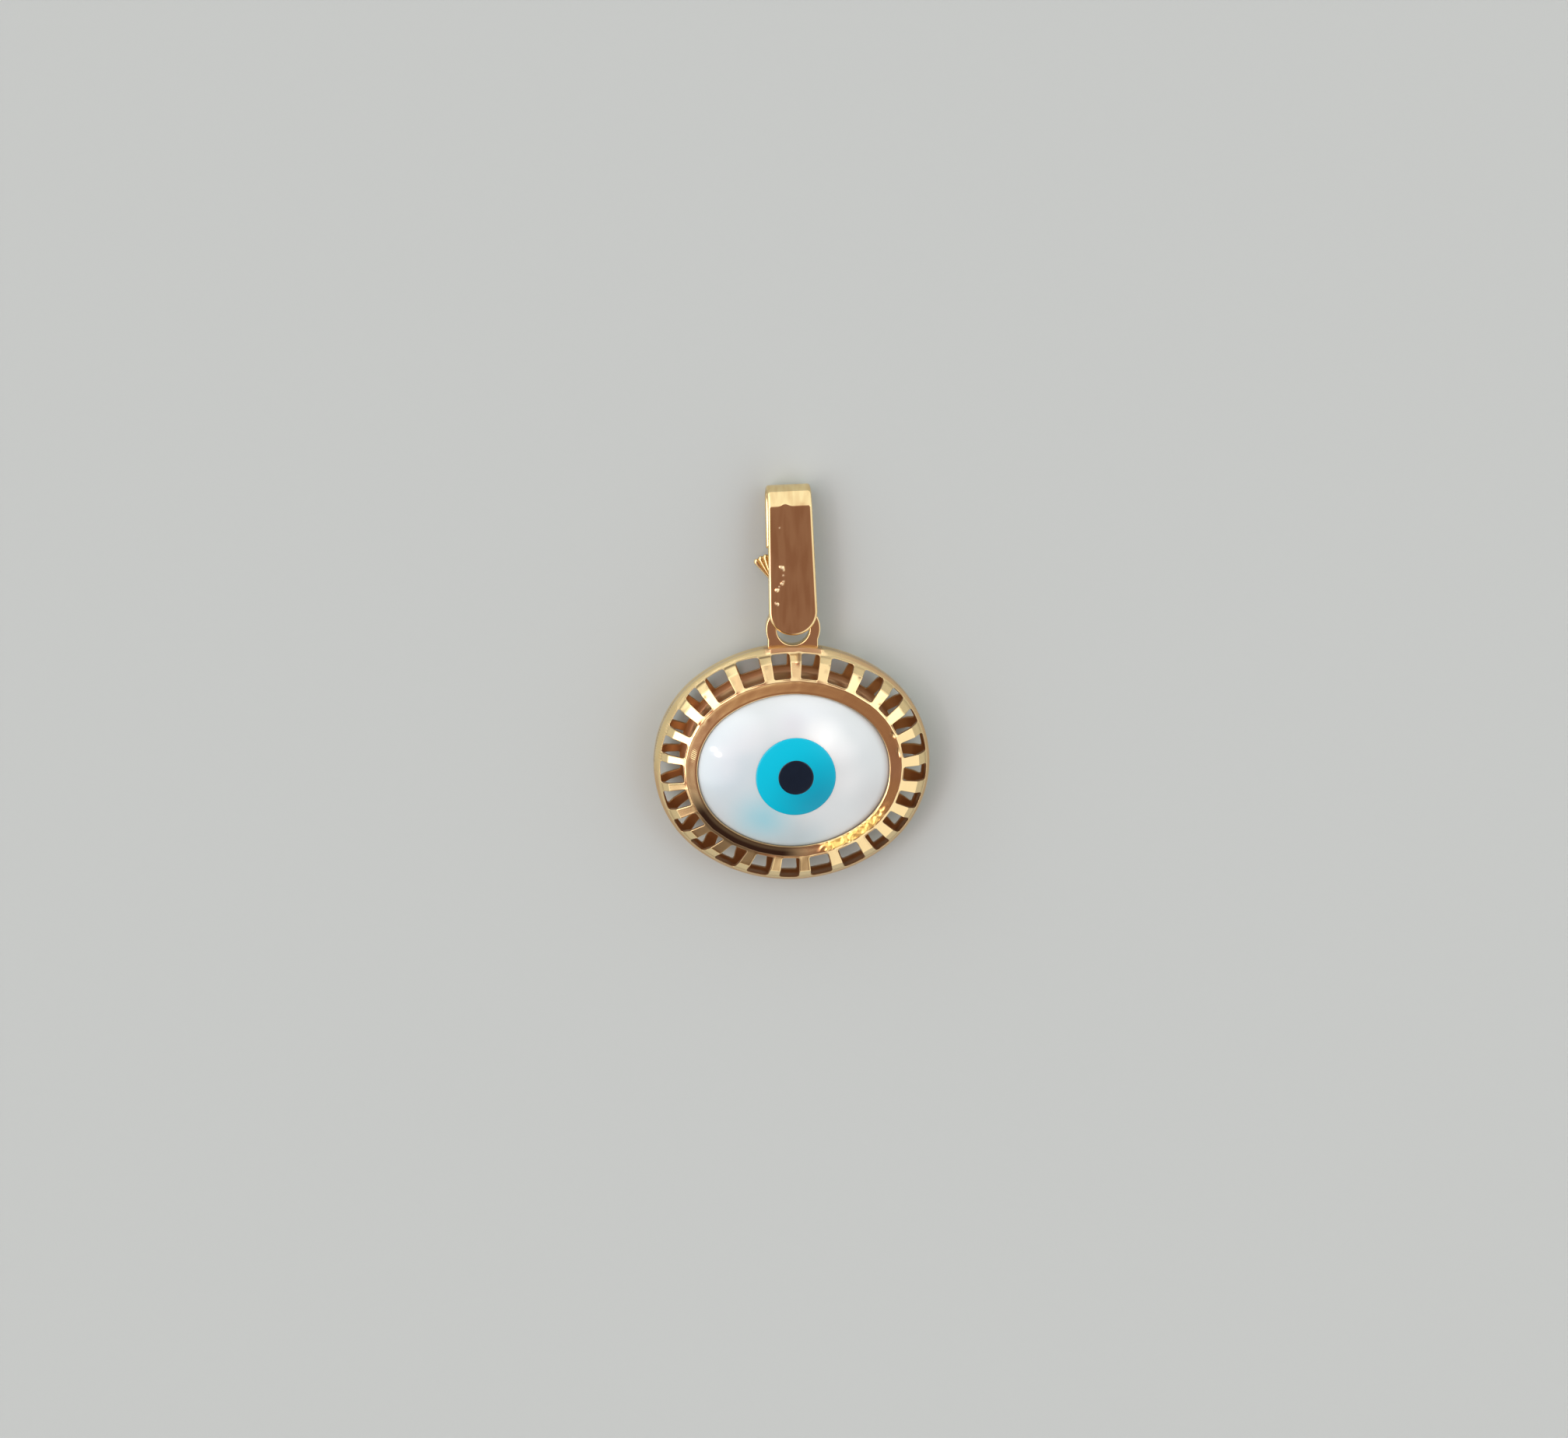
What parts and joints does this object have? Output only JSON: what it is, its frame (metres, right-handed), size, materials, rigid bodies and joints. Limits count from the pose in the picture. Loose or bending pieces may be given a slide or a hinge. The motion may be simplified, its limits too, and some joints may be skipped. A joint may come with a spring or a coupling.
{
  "type": "evil eye pendant",
  "caption": "Oval evil eye pendant: domed mother-of-pearl stone with turquoise iris and dark pupil in a pierced gold setting with an ear ring and folded bail.",
  "frame": {"origin": "centre of the outline on the floor, under the pendant lying face up", "axes": "+Z out of the pendant's face, +Y towards the bail, +X to the right"},
  "size_m": [0.0172, 0.0252, 0.0049],
  "materials": {
    "gold": "polished",
    "gold_bail": "polished",
    "mother_of_pearl": "polished, pearly",
    "turquoise": "polished",
    "black_inlay": "polished"
  },
  "bodies": {
    "root": {"setting": "gold", "stone": "mother_of_pearl", "iris": "turquoise", "pupil": "black_inlay", "bail": "gold_bail"}
  },
  "joints": []
}
